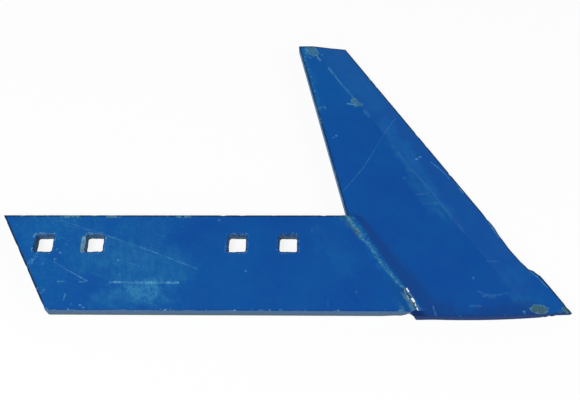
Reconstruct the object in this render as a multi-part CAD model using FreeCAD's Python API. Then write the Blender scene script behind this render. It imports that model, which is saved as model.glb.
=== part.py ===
import FreeCAD, Part
import math
import os

# Plough coulter: a flat landside bar with a knife blade butt-welded to its slanted end.
# Lengths are in millimetres and angles in degrees. The plates lie flat, +X runs along the
# bar towards the point, +Y runs from its lower long edge to its upper one, and +Z is up.
# The origin is on the back face, in the middle of the bolt pattern.

# Landside bar, a length of hot-rolled flat with both ends cut to the same slant
bar_length = 307.0
bar_width = 90.0
bar_thickness = 12.0
bar_end_lean = 30.0
bar_edge_radius = 1.0

# Punched square bolt holes, in two pairs on one line, each flared where the punch broke out
bolt_square = 16.0
bolt_corner_radius = 2.0
bolt_flare = 2.4
bolt_flare_depth = 3.5
bolt_pitch = 45.0
bolt_pair_spacing = 171.0
bolt_from_corner = 41.0
bolt_from_top_edge = 27.5

# Knife blade, cut from plate
blade_thickness = 10.0
blade_rise = 190.0
blade_top_width = 47.2
back_edge_lean = 13.3
cutting_edge_lean = 32.9
bevel_width = 28.0
cutting_edge_thickness = 4.0

# Lower part of the cutting edge: a shallow hollow, a step out, then a straight run to the
# point. Lengths run along the edge, depths and steps are square to it.
hollow_length = 48.0
hollow_deepest_at = 26.4
hollow_depth = 2.2
hollow_end_depth = 0.7
step_length = 12.0
step_middle_out = 2.3
step_end_out = 4.0
point_length = 39.8
point_out = 4.2

# Bottom edge of the blade, bowed a little below the bar
heel_overhang = 2.2
bottom_bow = 2.8
point_height = 2.0

# Weld between the bar's end and the blade's slanted edge. The cap of the front run has a flat
# top and a long slope down to the blade; its rises are over the line between its two toes.
root_gap = 2.0
root_height = 5.0
root_face = 1.0
front_prep_width = 6.0
back_prep_width = 4.5
front_toe_on_blade = 8.0
front_toe_on_bar = 2.0
front_crown = 1.5
front_shoulder_at = 9.0
front_shoulder_rise = 1.3

bar_tan = math.tan(math.radians(bar_end_lean))
bar_cos = math.cos(math.radians(bar_end_lean))
edge_cos = math.cos(math.radians(cutting_edge_lean))
edge_sin = math.sin(math.radians(cutting_edge_lean))

bolt_line = bar_width - bolt_from_top_edge
bolt_places = [
    bolt_from_corner,
    bolt_from_corner + bolt_pitch,
    bolt_from_corner + bolt_pair_spacing,
    bolt_from_corner + bolt_pair_spacing + bolt_pitch,
]
origin_x = (bolt_places[0] + bolt_places[-1]) / 2
origin_y = bolt_line
blade_top = bar_width + blade_rise
clear = 5.0
small = 1e-6


def point(x, y, z=0.0):
    return FreeCAD.Vector(x, y, z)


def prism(corners, run):
    """The closed polygon through the corners, pushed along the run."""
    return Part.Face(Part.makePolygon(corners + corners[:1])).extrude(run)


def joint_x(y, away):
    """X of the line that lies a distance away from the bar's end face, on the blade's side."""
    return bar_length + (bar_width - y) * bar_tan + away / bar_cos


def joint_bar(section, low_y, high_y):
    """A bar along the joint, trimmed square to Y at both ends. Its section is a list of lines
    and arcs, each through two or three (distance from the bar's end, height) pairs."""
    start_y = low_y - bar_width
    end_y = high_y + bar_width
    edges = []
    for step in section:
        places = [point(joint_x(start_y, away), start_y, z) for away, z in step]
        if len(places) == 3:
            edges.append(Part.Arc(*places).toShape())
        else:
            edges.append(Part.LineSegment(*places).toShape())
    run = point(joint_x(end_y, 0) - joint_x(start_y, 0), end_y - start_y)
    swept = Part.Face(Part.Wire(edges)).extrude(run)
    span = bar_length + blade_top
    trim = Part.makeBox(2 * span, high_y - low_y, 2 * span, point(-span / 2, low_y, -span))
    return swept.common(trim)


def square_cutter(x, y, low_z, low_half, high_z, high_half):
    """A square prism, straight or flared, with its four upright corners rounded."""
    cutter = Part.makeWedge(
        -low_half, low_z, -low_half, -high_half, -high_half,
        low_half, high_z, low_half, high_half, high_half)
    cutter.rotate(point(0, 0), point(1, 0), 90)
    cutter.translate(point(x, y))
    upright = [edge for edge in cutter.Edges if abs(edge.Vertexes[0].Z - edge.Vertexes[1].Z) > clear]
    return cutter.makeFillet(bolt_corner_radius, upright)


def landside_bar():
    slant = bar_width * bar_tan
    corners = [
        point(slant, 0),
        point(bar_length + slant, 0),
        point(bar_length, bar_width),
        point(0, bar_width),
    ]
    flat = prism(corners, point(0, 0, bar_thickness))
    long_edges = [
        edge for edge in flat.Edges
        if abs(edge.Vertexes[0].Y - edge.Vertexes[1].Y) < small
        and abs(edge.Vertexes[0].Z - edge.Vertexes[1].Z) < small
    ]
    flat = flat.makeFillet(bar_edge_radius, long_edges)
    half = bolt_square / 2
    slope = bolt_flare / bolt_flare_depth
    low_z = -clear
    low_half = half + bolt_flare + clear * slope
    high_z = bolt_flare_depth + clear
    high_half = half - clear * slope
    for x in bolt_places:
        flat = flat.cut(square_cutter(x, bolt_line, low_z, half, bar_thickness + clear, half))
        flat = flat.cut(square_cutter(x, bolt_line, low_z, low_half, high_z, high_half))
    return flat


def edge_point(top, along, out):
    """A point on the cutting edge: a distance along it from its top corner, and a distance out."""
    return point(top.x + along * edge_sin + out * edge_cos, top.y - along * edge_cos + out * edge_sin)


def blade_outline():
    """Edges of the blade's outline, clockwise from its top back corner."""
    root = point(joint_x(bar_width, root_gap), bar_width)
    top_back = point(root.x - blade_rise * math.tan(math.radians(back_edge_lean)), blade_top)
    top_front = point(top_back.x + blade_top_width, blade_top)
    point_along = (top_front.y - point_height + point_out * edge_sin) / edge_cos
    step_end = point_along - point_length
    hollow_end = step_end - step_length
    hollow_start = hollow_end - hollow_length
    hollow_top = edge_point(top_front, hollow_start, 0)
    hollow_mid = edge_point(top_front, hollow_start + hollow_deepest_at, -hollow_depth)
    hollow_low = edge_point(top_front, hollow_end, -hollow_end_depth)
    step_mid = edge_point(top_front, hollow_end + step_length / 2, step_middle_out)
    step_low = edge_point(top_front, step_end, step_end_out)
    blade_point = edge_point(top_front, point_along, point_out)
    heel = point(joint_x(-heel_overhang, root_gap), -heel_overhang)
    bow = point((heel.x + blade_point.x) / 2, (heel.y + blade_point.y) / 2 - bottom_bow)
    lower_edge = Part.BSplineCurve()
    lower_edge.interpolate([hollow_top, hollow_mid, hollow_low, step_mid, step_low])
    edges = [
        Part.LineSegment(top_back, top_front).toShape(),
        Part.LineSegment(top_front, hollow_top).toShape(),
        lower_edge.toShape(),
        Part.LineSegment(step_low, blade_point).toShape(),
        Part.Arc(blade_point, bow, heel).toShape(),
        Part.LineSegment(heel, root).toShape(),
        Part.LineSegment(root, top_back).toShape(),
    ]
    return edges, top_front


def cutting_bevel(top_front):
    """Wedge that takes the front face down to the cutting edge, past both ends of the blade."""
    drop = blade_thickness - cutting_edge_thickness
    reach = bevel_width
    section = [
        (-bevel_width, blade_thickness),
        (-bevel_width, blade_thickness + reach),
        (reach, blade_thickness + reach),
        (reach, cutting_edge_thickness - drop * reach / bevel_width),
    ]
    start = -blade_top
    end = 2 * blade_top
    corners = []
    for out, z in section:
        place = edge_point(top_front, start, out)
        corners.append(point(place.x, place.y, z))
    run = edge_point(top_front, end, 0) - edge_point(top_front, start, 0)
    return prism(corners, run)


def coulter_blade():
    edges, top_front = blade_outline()
    blade = Part.Face(Part.Wire(edges)).extrude(point(0, 0, blade_thickness))
    blade = blade.cut(cutting_bevel(top_front))
    root_top = root_height + root_face / 2
    root_bottom = root_height - root_face / 2
    front_open = root_gap + front_prep_width
    back_open = root_gap + back_prep_width
    front_prep = [
        [(root_gap, root_top), (front_open, blade_thickness)],
        [(front_open, blade_thickness), (root_gap, blade_thickness)],
        [(root_gap, blade_thickness), (root_gap, root_top)],
    ]
    back_prep = [
        [(root_gap, root_bottom), (back_open, 0)],
        [(back_open, 0), (root_gap, 0)],
        [(root_gap, 0), (root_gap, root_bottom)],
    ]
    for section in (front_prep, back_prep):
        blade = blade.cut(joint_bar(section, -clear - heel_overhang, bar_width))
    return blade


def front_weld_bead():
    front_open = root_gap + front_prep_width
    blade_toe = front_open + front_toe_on_blade
    toe_slope = (blade_thickness - bar_thickness) / (blade_toe + front_toe_on_bar)

    def over_toes(away, rise):
        return away, bar_thickness + (away + front_toe_on_bar) * toe_slope + rise

    crest = over_toes((front_shoulder_at - front_toe_on_bar) / 2, front_crown)
    shoulder = over_toes(front_shoulder_at, front_shoulder_rise)
    section = [
        [(0, root_height), (root_gap, root_height)],
        [(root_gap, root_height), (root_gap, root_height + root_face / 2)],
        [(root_gap, root_height + root_face / 2), (front_open, blade_thickness)],
        [(front_open, blade_thickness), (blade_toe, blade_thickness)],
        [(blade_toe, blade_thickness), shoulder],
        [shoulder, crest, (-front_toe_on_bar, bar_thickness)],
        [(-front_toe_on_bar, bar_thickness), (0, bar_thickness)],
        [(0, bar_thickness), (0, root_height)],
    ]
    return joint_bar(section, 0, bar_width)


def back_weld_bead():
    back_open = root_gap + back_prep_width
    section = [
        [(0, 0), (back_open, 0)],
        [(back_open, 0), (root_gap, root_height - root_face / 2)],
        [(root_gap, root_height - root_face / 2), (root_gap, root_height)],
        [(root_gap, root_height), (0, root_height)],
        [(0, root_height), (0, 0)],
    ]
    return joint_bar(section, 0, bar_width)


pieces = {
    "landside_bar": landside_bar(),
    "coulter_blade": coulter_blade(),
    "front_weld_bead": front_weld_bead(),
    "back_weld_bead": back_weld_bead(),
}

os.makedirs("parts", exist_ok=True)
for name, shape in pieces.items():
    solid = shape.Solids[0]
    solid.translate(point(-origin_x, -origin_y))
    solid.exportStep(os.path.join("parts", name + ".step"))
    box = solid.BoundBox
    print(name, "solids", len(shape.Solids), "volume %.0f mm3" % solid.Volume,
          "x %.1f to %.1f, y %.1f to %.1f, z %.2f to %.2f" % (
              box.XMin, box.XMax, box.YMin, box.YMax, box.ZMin, box.ZMax))
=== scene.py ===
import math

import bmesh
import bpy
from mathutils import Matrix, Vector, noise


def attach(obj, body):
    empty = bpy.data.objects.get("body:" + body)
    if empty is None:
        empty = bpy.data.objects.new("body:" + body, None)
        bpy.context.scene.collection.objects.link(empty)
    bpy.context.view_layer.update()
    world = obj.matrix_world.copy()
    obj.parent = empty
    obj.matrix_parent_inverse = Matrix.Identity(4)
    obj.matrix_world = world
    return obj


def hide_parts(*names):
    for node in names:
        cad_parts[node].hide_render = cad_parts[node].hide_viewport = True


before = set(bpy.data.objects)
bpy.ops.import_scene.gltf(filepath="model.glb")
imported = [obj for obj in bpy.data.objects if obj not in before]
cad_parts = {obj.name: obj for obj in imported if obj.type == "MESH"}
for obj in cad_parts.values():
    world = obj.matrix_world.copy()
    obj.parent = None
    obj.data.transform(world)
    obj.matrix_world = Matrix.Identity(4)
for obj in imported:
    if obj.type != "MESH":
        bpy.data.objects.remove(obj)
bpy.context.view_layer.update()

# The pieces are shaped in millimetres in the part's own frame, and made metres when finished.
MM = 0.001

BAR_TOP = 27.5
BAR_BOTTOM = -62.5
BAR_LEFT = -149.0
BAR_LENGTH = 307.0
BAR_THICK = 12.0
LEAN_TAN = math.tan(math.radians(30.0))
LEAN_COS = math.cos(math.radians(30.0))
LEAN_SIN = math.sin(math.radians(30.0))
JOINT_X = BAR_LEFT + BAR_LENGTH
BAR_SLANT = (BAR_TOP - BAR_BOTTOM) * LEAN_TAN

HOLE_X = (-108.0, -63.0, 63.0, 108.0)
HOLE_HALF = 8.0
HOLE_CORNER = 2.0
# The square of the bar's face round each hole that the hole's collar takes up, and the number of
# steps along each of its sides
COLLAR_HALF = 13.0
COLLAR_STEPS = 16
# Longest part of an edge along a plate's rim
RIM_STEP = 1.3

BLADE_THICK = 10.0
BLADE_TOP = 217.5
EDGE_THICK = 4.0
BEVEL_WIDTH = 28.0
BLADE_TOP_BACK = (115.39, BLADE_TOP)
BLADE_TOP_FRONT = (162.59, BLADE_TOP)
BLADE_ROOT = (160.31, BAR_TOP)
BLADE_HEEL = (213.54, -64.7)
EDGE_SIN = math.sin(math.radians(32.9))
EDGE_COS = math.cos(math.radians(32.9))
BACK_SIN = math.sin(math.radians(13.3))
BACK_COS = math.cos(math.radians(13.3))
POINT_X = 347.4
POINT_Y = -60.5
POINT_ALONG = 333.8
# The worn cutting edge: distance down along it, and how far it stands out
EDGE_PROFILE = (
    (234.0, 0.0), (247.0, -1.5), (260.4, -2.2), (272.0, -1.8), (282.0, -0.7), (288.0, 2.3),
    (294.0, 4.0), (306.0, 4.2), (POINT_ALONG, 4.2))
BOTTOM_BOW = 2.78
# How far the heel hangs lower than the bow, and how far its weld bevel cuts in at the back face
HEEL_DROP = 0.9
HEEL_BEVEL = 3.0


# Shaping

def plate_from(corners, thickness):
    """A flat plate lying on the ground: its outline filled and pushed up."""
    bm = bmesh.new()
    outline = [bm.verts.new((x, y, 0.0)) for x, y in corners]
    pushed = bmesh.ops.extrude_face_region(bm, geom=[bm.faces.new(outline)])["geom"]
    raised = [item for item in pushed if isinstance(item, bmesh.types.BMVert)]
    bmesh.ops.translate(bm, verts=raised, vec=(0.0, 0.0, thickness))
    bmesh.ops.recalc_face_normals(bm, faces=bm.faces)
    return bm


def round_edges(bm, edges, size):
    bmesh.ops.bevel(
        bm, geom=edges, offset=size, offset_type="OFFSET", segments=3, profile=0.5,
        affect="EDGES", material=-1, clamp_overlap=True)


def score(bm, start, normal, places):
    """Cuts the plate's faces along parallel lines, each a distance from the start."""
    start = Vector((start[0], start[1], 0.0))
    normal = Vector((normal[0], normal[1], 0.0)).normalized()
    for place in places:
        everything = bm.verts[:] + bm.edges[:] + bm.faces[:]
        bmesh.ops.bisect_plane(
            bm, geom=everything, dist=0.001, plane_co=start + normal * place, plane_no=normal)


def spaced(start, end, step):
    """Evenly spread places from start to end, about a step apart."""
    count = max(1, round((end - start) / step))
    return [start + (end - start) * i / count for i in range(count + 1)]


def smooth(value, low, high):
    """Rises smoothly from 0 at low to 1 at high."""
    t = min(1.0, max(0.0, (value - low) / (high - low)))
    return t * t * (3.0 - 2.0 * t)


def between(table, value):
    """Value from a table of (place, value) pairs, in smooth steps."""
    if value <= table[0][0]:
        return table[0][1]
    for (low, a), (high, b) in zip(table, table[1:]):
        if value <= high:
            return a + (b - a) * smooth(value, low, high)
    return table[-1][1]


def straight(table, value):
    """Value from a table of (place, value) pairs, in straight steps."""
    if value <= table[0][0]:
        return table[0][1]
    for (low, a), (high, b) in zip(table, table[1:]):
        if value <= high:
            return a + (b - a) * (value - low) / (high - low)
    return table[-1][1]


def grain(x, y, size, layer=0.0):
    """Even noise from -1 to 1, with lumps of about the given size."""
    return noise.noise(Vector((x / size, y / size, layer)))


def inset_of(lines, x, y):
    """Distance in from the nearest of the outline's lines, with that line's inward direction."""
    return min(((x - px) * nx + (y - py) * ny, nx, ny) for px, py, nx, ny in lines)


def outline_lines(corners):
    """(point, inward direction) of each side of a convex outline that runs anticlockwise."""
    lines = []
    for (ax, ay), (bx, by) in zip(corners, corners[1:] + corners[:1]):
        length = math.hypot(bx - ax, by - ay)
        lines.append((ax, ay, -(by - ay) / length, (bx - ax) / length))
    return lines


def mark_inset(bm, lines):
    """Stores each vertex's distance in from the outline, for the materials."""
    layer = bm.verts.layers.float.new("inset")
    for vert in bm.verts:
        vert[layer] = max(0.0, inset_of(lines, vert.co.x, vert.co.y)[0])
    return layer


def split_rim(bm, layer, reach, longest):
    """Divides the long edges that run round the plate's rim, so that it can hold small nicks."""
    most_cuts = 7
    for cuts in range(1, most_cuts + 1):
        chosen = []
        for edge in bm.edges:
            a, b = edge.verts
            if max(a[layer], b[layer]) > reach or abs(a[layer] - b[layer]) > 0.02:
                continue
            if abs(a.co.z - b.co.z) > 0.3:
                continue
            parts = edge.calc_length() / longest
            if round(parts) - 1 == cuts or (cuts == most_cuts and parts > most_cuts + 1):
                chosen.append(edge)
        if chosen:
            bmesh.ops.subdivide_edges(bm, edges=chosen, cuts=cuts, use_grid_fill=True)


def finish_piece(bm, name, replaced, materials, crease=32.0):
    """Makes the piece's object, in metres, which rides on the body and stands for a CAD node."""
    bmesh.ops.dissolve_degenerate(bm, dist=0.002, edges=bm.edges[:])
    bmesh.ops.recalc_face_normals(bm, faces=bm.faces)
    for face in bm.faces:
        face.smooth = True
    mesh = bpy.data.meshes.new(name)
    bm.to_mesh(mesh)
    bm.free()
    mesh.set_sharp_from_angle(angle=math.radians(crease))
    mesh.transform(Matrix.Scale(MM, 4))
    for material in materials:
        mesh.materials.append(material)
    piece = bpy.data.objects.new(name, mesh)
    bpy.context.scene.collection.objects.link(piece)
    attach(piece, "root")
    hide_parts(replaced)


# Landside bar

# Roundness of its edges, how far in its chipped rim reaches, and lines that divide the rim
BAR_ARRIS = 0.9
BAR_RIM = 1.7
BAR_RIM_LINES = (1.6, 3.0)
# Stretches of the bar that are divided across, between the squares round its holes
BAR_STRETCHES = (
    (-145.0, -121.0), (-95.0, -76.0), (-50.0, 50.0), (76.0, 95.0), (121.0, 206.0))
# An inset that is past every rim, for the hole collars
FAR_INSIDE = 20.0
# Worn or dished spots on the hole rims: hole, side, centre and half length along the side as
# shares of its half, depth, and reach out from the wall
RIM_DISHES = (
    (-63.0, "left", -0.20, 1.00, 2.0, 3.9),
    (-108.0, "left", 0.30, 0.35, 0.9, 2.6),
    (-108.0, "left", -0.95, 0.25, 0.6, 1.8),
    (-108.0, "right", 0.42, 0.22, 1.6, 1.0),
    (63.0, "left", 0.55, 0.40, 0.6, 1.6),
    (108.0, "left", 0.10, 0.45, 1.1, 1.8),
    (108.0, "top", -0.60, 0.30, 0.6, 1.4),
)
# Rings of the hole's collar from the front face, down the punched wall, to the torn-out back:
# distance out from the square hole, and height
COLLAR_RINGS = (
    (4.2, 12.0), (3.4, 12.0), (2.6, 12.0), (1.9, 11.99), (1.3, 11.95), (0.85, 11.84),
    (0.5, 11.64), (0.22, 11.3), (0.06, 10.8), (0.0, 10.0), (0.0, 8.6), (-0.02, 8.2),
    (-0.05, 7.8), (-0.06, 6.4), (-0.04, 4.8), (0.0, 3.6), (0.8, 2.4), (1.6, 1.2), (2.05, 0.5),
    (2.3, 0.1), (2.8, 0.0), (4.4, 0.0))
# First and last of the rings that lie on the punched wall
WALL_RINGS = (6, 19)
# How far the torn lower part of each hole's wall stands in
WALL_BURR = {-108.0: 0.45, -63.0: 0.15, 63.0: 0.25, 108.0: 0.15}


def unit_square(step):
    """Point on the edge of a square of half side 1, counted round from a lower corner."""
    side, place = divmod(step % (4 * COLLAR_STEPS), COLLAR_STEPS)
    run = 2.0 * place / COLLAR_STEPS - 1.0
    return ((run, -1.0), (1.0, run), (-run, 1.0), (-1.0, -run))[int(side)]


def rounded_square(a, b, half, radius):
    """A point of the square of half side 1, moved onto one with rounded corners."""
    x, y = a * half, b * half
    flat = half - radius
    if abs(x) > flat and abs(y) > flat:
        cx, cy = math.copysign(flat, x), math.copysign(flat, y)
        reach = math.hypot(x - cx, y - cy)
        x, y = cx + (x - cx) * radius / reach, cy + (y - cy) * radius / reach
    return x, y


def dish_depth(hole, a, b, out):
    """How far a hole's rim is worn down, a distance out from its wall."""
    deepest = 0.0
    for at, side, centre, half_length, depth, reach in RIM_DISHES:
        on_side = {"left": a == -1.0, "right": a == 1.0, "top": b == 1.0}[side]
        if at != hole or not on_side:
            continue
        along = a if side == "top" else b
        across = 1.0 - smooth(abs(along - centre), 0.45 * half_length, half_length)
        deepest = max(deepest, depth * across * max(0.0, 1.0 - out / reach) ** 0.8)
    return deepest


def collar_point(hole, step, ring):
    """A point on the collar of a punched hole, and its distance out from the square hole."""
    a, b = unit_square(step)
    if ring < 0 or ring >= len(COLLAR_RINGS):
        z = BAR_THICK if ring < 0 else 0.0
        return Vector((hole + a * COLLAR_HALF, b * COLLAR_HALF, z)), COLLAR_HALF - HOLE_HALF
    out, z = COLLAR_RINGS[ring]
    gap = out
    near = max(0.0, 1.0 - out / 3.4)
    ragged = 0.45 if 2.0 < z < 11.9 else 0.55
    out += near * ragged * (noise.noise(Vector((a * 1.8 + hole, b * 1.8, z * 0.2))) - 0.30)
    if z < 9.0:
        out += 0.30 * noise.noise(Vector((a * 5.0 + hole, b * 5.0, z * 0.5)))
        out -= WALL_BURR[hole] * near
    x, y = rounded_square(a, b, HOLE_HALF + out, HOLE_CORNER + max(0.0, out) * (1.3 if z < 6 else 0.9))
    lowered = dish_depth(hole, a, b, max(0.0, gap))
    z = min(z, BAR_THICK - lowered) if z > 6.0 else z
    return Vector((hole + x, y, max(0.0, z))), gap


def fit_collar(bm, hole, inset, gap_layer):
    """Fills the square left open round a hole with the hole's rim, wall and torn-out back."""
    rows = len(COLLAR_RINGS) + 1
    made = bmesh.ops.create_grid(bm, x_segments=4 * COLLAR_STEPS, y_segments=rows, size=1.0)
    places = {}
    for vert in made["verts"]:
        step = round((vert.co.x + 1.0) / 2.0 * 4 * COLLAR_STEPS)
        ring = round((vert.co.y + 1.0) / 2.0 * rows) - 1
        places[vert] = (step, ring)
    for vert, (step, ring) in places.items():
        vert.co, vert[gap_layer] = collar_point(hole, step, ring)
        vert[inset] = FAR_INSIDE
    for face in {face for vert in places for face in vert.link_faces}:
        rings = [places[vert][1] for vert in face.verts]
        if min(rings) >= WALL_RINGS[0] and max(rings) <= WALL_RINGS[1]:
            face.material_index = 1


def sheared_bar(materials):
    """The bar: a flat with slanting ends, four punched holes and chipped rims."""
    corners = [
        (BAR_LEFT + BAR_SLANT, BAR_BOTTOM), (JOINT_X + BAR_SLANT, BAR_BOTTOM),
        (JOINT_X, BAR_TOP), (BAR_LEFT, BAR_TOP)]
    lines = outline_lines(corners)
    bm = plate_from(corners, BAR_THICK)
    round_edges(bm, bm.edges[:], BAR_ARRIS)
    across = []
    for start, end in BAR_STRETCHES:
        across += spaced(start, end, 7.5)
    score(bm, (0, 0), (1, 0), across)
    score(bm, (0, 0), (0, 1), spaced(-57.5, -COLLAR_HALF, 8.0) + spaced(COLLAR_HALF, 23.0, 5.0))
    score(bm, (0, BAR_TOP), (0, -1), BAR_RIM_LINES)
    score(bm, (0, BAR_BOTTOM), (0, 1), BAR_RIM_LINES)
    score(bm, (BAR_LEFT, BAR_TOP), (LEAN_COS, LEAN_SIN), BAR_RIM_LINES)
    inset = mark_inset(bm, lines)
    gap_layer = bm.verts.layers.float.new("hole_gap")
    for vert in bm.verts:
        vert[gap_layer] = COLLAR_HALF
    split_rim(bm, inset, BAR_RIM, RIM_STEP)

    def in_hole_square(face):
        middle = face.calc_center_median()
        return abs(middle.y) < COLLAR_HALF and abs(face.normal.z) > 0.9 and any(
            abs(middle.x - hole) < COLLAR_HALF for hole in HOLE_X)

    squares = [face for face in bm.faces if in_hole_square(face)]
    sides = list({edge for face in squares for edge in face.edges})
    bmesh.ops.subdivide_edges(bm, edges=sides, cuts=COLLAR_STEPS - 1, use_grid_fill=True)
    inner = [face for face in bm.faces if in_hole_square(face)]
    bmesh.ops.delete(bm, geom=inner, context="FACES")
    for hole in HOLE_X:
        fit_collar(bm, hole, inset, gap_layer)
    bmesh.ops.remove_doubles(bm, verts=bm.verts[:], dist=0.01)

    for vert in bm.verts:
        x, y, z = vert.co
        near, nx, ny = inset_of(lines, x, y)
        if near < BAR_RIM and x < JOINT_X - (y - BAR_TOP) * LEAN_TAN - 6.0:
            front = smooth(z, BAR_THICK - 4.0, BAR_THICK - 0.5)
            chip = max(0.0, grain(x, y, 9.0, 4.0) - 0.30) * 1.5 * front
            chip += 0.08 * max(0.0, grain(x, y + z, 2.2, 9.0))
            fade = 1.0 - smooth(near, 0.4, BAR_RIM)
            vert.co.x += nx * chip * fade
            vert.co.y += ny * chip * fade
            vert.co.z -= chip * fade * 0.5 * front
        if z > BAR_THICK - 0.01:
            vert.co.z -= 0.06 * (0.5 + 0.5 * grain(x, y, 34.0, 2.0))
        dressed = 0.5 * smooth(x, 186.0, 200.0) + 1.1 * smooth(x, 204.0, 210.0)
        dressed *= 1.0 - smooth(y, BAR_BOTTOM + 0.5, BAR_BOTTOM + 4.0)
        vert.co.y += dressed * (1.0 - smooth(z, 1.0, 9.0))
    finish_piece(bm, "painted_landside_bar", "landside_bar", materials)


# Coulter blade

BLADE_ARRIS = 0.7
RIDGE_ROUNDING = 1.6
BLADE_RIM = 1.5
BLADE_RIM_LINES = (1.4, 2.6)
# How far in the plate is drawn along when its cutting edge and its bottom edge are shaped
EDGE_REACH = 14.0
BOTTOM_REACH = 16.0


def from_cutting_edge(x, y):
    """Distance down along the cutting edge from its top corner, and distance out of it."""
    dx, dy = x - BLADE_TOP_FRONT[0], y - BLADE_TOP_FRONT[1]
    return dx * EDGE_SIN - dy * EDGE_COS, dx * EDGE_COS + dy * EDGE_SIN


# Notches in the blade's rim: x, y, half length, depth, and whether they go through its whole edge
BLADE_NICKS = (
    (149.6, 70.0, 2.2, 0.9, False),
    (151.9, 62.0, 1.6, 0.6, False),
    (318.5, -64.2, 1.6, 0.8, True),
    (323.6, -63.6, 1.3, 1.1, True),
    (328.4, -63.0, 1.8, 0.9, True),
    (333.8, -62.5, 1.4, 0.7, True),
    (298.0, 2.0, 2.0, 0.4, True),
    (256.0, 73.3, 2.4, 0.5, True),
)


def blade_bottom(x):
    """Y of the blade's bottom edge, bowed between its heel and its point."""
    run = (x - BLADE_HEEL[0]) / (POINT_X - BLADE_HEEL[0])
    bowed = BLADE_HEEL[1] + (POINT_Y - BLADE_HEEL[1]) * run - BOTTOM_BOW * 4.0 * run * (1.0 - run)
    return bowed - HEEL_DROP * (1.0 - smooth(x, 214.0, 234.0))


def knife_blade(materials):
    """The blade: plate with a bevel down to its cutting edge, worn and nicked along its rim."""
    point = (
        BLADE_TOP_FRONT[0] + POINT_ALONG * EDGE_SIN, BLADE_TOP_FRONT[1] - POINT_ALONG * EDGE_COS)
    corners = [BLADE_TOP_BACK, BLADE_ROOT, BLADE_HEEL, point, BLADE_TOP_FRONT]
    lines = outline_lines(corners)
    bm = plate_from(corners, BLADE_THICK)
    score(bm, BLADE_TOP_FRONT, (EDGE_COS, EDGE_SIN), (-BEVEL_WIDTH,))
    for vert in bm.verts:
        out = from_cutting_edge(vert.co.x, vert.co.y)[1]
        if vert.co.z > BLADE_THICK - 0.1 and out > -BEVEL_WIDTH:
            vert.co.z = EDGE_THICK + (BLADE_THICK - EDGE_THICK) * -out / BEVEL_WIDTH
    bm.normal_update()
    sharp = [edge for edge in bm.edges if len(edge.link_faces) == 2 and edge.calc_face_angle() > 0.6]
    round_edges(bm, sharp, BLADE_ARRIS)
    ridge = [
        edge for edge in bm.edges
        if 0.1 < edge.calc_face_angle(0.0) < 0.3 and edge.calc_length() > 60.0
        and abs(from_cutting_edge(*edge.verts[0].co.xy)[1] + BEVEL_WIDTH) < 0.5]
    round_edges(bm, ridge, RIDGE_ROUNDING)

    score(bm, BLADE_TOP_FRONT, (EDGE_SIN, -EDGE_COS), spaced(-20.0, 330.0, 4.0))
    score(bm, BLADE_TOP_FRONT, (0.0, -1.0), BLADE_RIM_LINES)
    score(bm, BLADE_TOP_FRONT, (-EDGE_COS, -EDGE_SIN),
          [*BLADE_RIM_LINES, 4.5, 8.0, 13.0, 19.0] + spaced(36.0, 180.0, 8.0))
    score(bm, BLADE_ROOT, (BACK_COS, BACK_SIN), BLADE_RIM_LINES)
    score(bm, BLADE_ROOT, (LEAN_COS, LEAN_SIN), (4.6,))
    score(bm, BLADE_HEEL, (-0.0143, 1.0), (1.4, 3.0, 6.0, 10.0))
    inset = mark_inset(bm, lines)
    split_rim(bm, inset, BLADE_RIM, RIM_STEP)

    bottom_x, bottom_y, up_x, up_y = lines[2]
    for vert in bm.verts:
        x, y, z = vert.co
        near, nx, ny = inset_of(lines, x, y)
        along, out = from_cutting_edge(x, y)
        joint_gap = (x - BLADE_ROOT[0]) * LEAN_COS + (y - BLADE_ROOT[1]) * LEAN_SIN
        at_joint = y < BAR_TOP and joint_gap < 5.0
        if near < BLADE_RIM:
            front = smooth(z, 0.45 * BLADE_THICK, 0.85 * BLADE_THICK) if out < -2.0 else 1.0
            chip = max(0.0, grain(x, y, 8.0, 1.0) - 0.32) * 1.3 * front
            chip += 0.08 * max(0.0, grain(x, y + z, 2.0, 5.0))
            for cx, cy, half, depth, through in BLADE_NICKS:
                reach = math.hypot(x - cx, y - cy)
                chip += depth * (1.0 - smooth(reach, 0.3 * half, half)) * (1.0 if through else front)
            fade = 0.0 if at_joint and y > -58.0 else 1.0 - smooth(near, 0.4, BLADE_RIM)
            vert.co.x += nx * chip * fade
            vert.co.y += ny * chip * fade
        pull = between(EDGE_PROFILE, along) * smooth(out, -EDGE_REACH, 0.0)
        vert.co.x += EDGE_COS * pull
        vert.co.y += EDGE_SIN * pull
        up = (x - bottom_x) * up_x + (y - bottom_y) * up_y
        drop = blade_bottom(vert.co.x) - (y - up)
        if out < -1.0:
            drop -= (vert.co.y - y) * smooth(out, -EDGE_REACH, -1.0)
        else:
            drop *= 1.0 - smooth(out, -6.0, 0.0)
        vert.co.y += drop * (1.0 - smooth(up, 0.0, BOTTOM_REACH))
        if z > 2.0 and near > 0.8:
            vert.co.z -= 0.07 * (0.5 + 0.5 * grain(x, y, 30.0, 7.0))
        if at_joint and z < 1.0 and near < 5.0 and y > -60.0:
            vert.co.z += 0.4
        open_end = (1.0 - smooth(y, -61.5, -59.0)) * (1.0 - smooth(z, 1.0, 9.0))
        vert.co.x += HEEL_BEVEL * open_end * (1.0 - smooth(joint_gap, 0.0, 8.0))
    finish_piece(bm, "painted_coulter_blade", "coulter_blade", materials)


# Welds

# How far the runs' upper ends stop short of the bar's edge, the gap between the plates that they
# fill, and the back run's width where it is ground flush
WELD_SLACK = 0.1
ROOT_GAP = 2.0
BACK_WELD_WIDTH = 6.5
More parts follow.
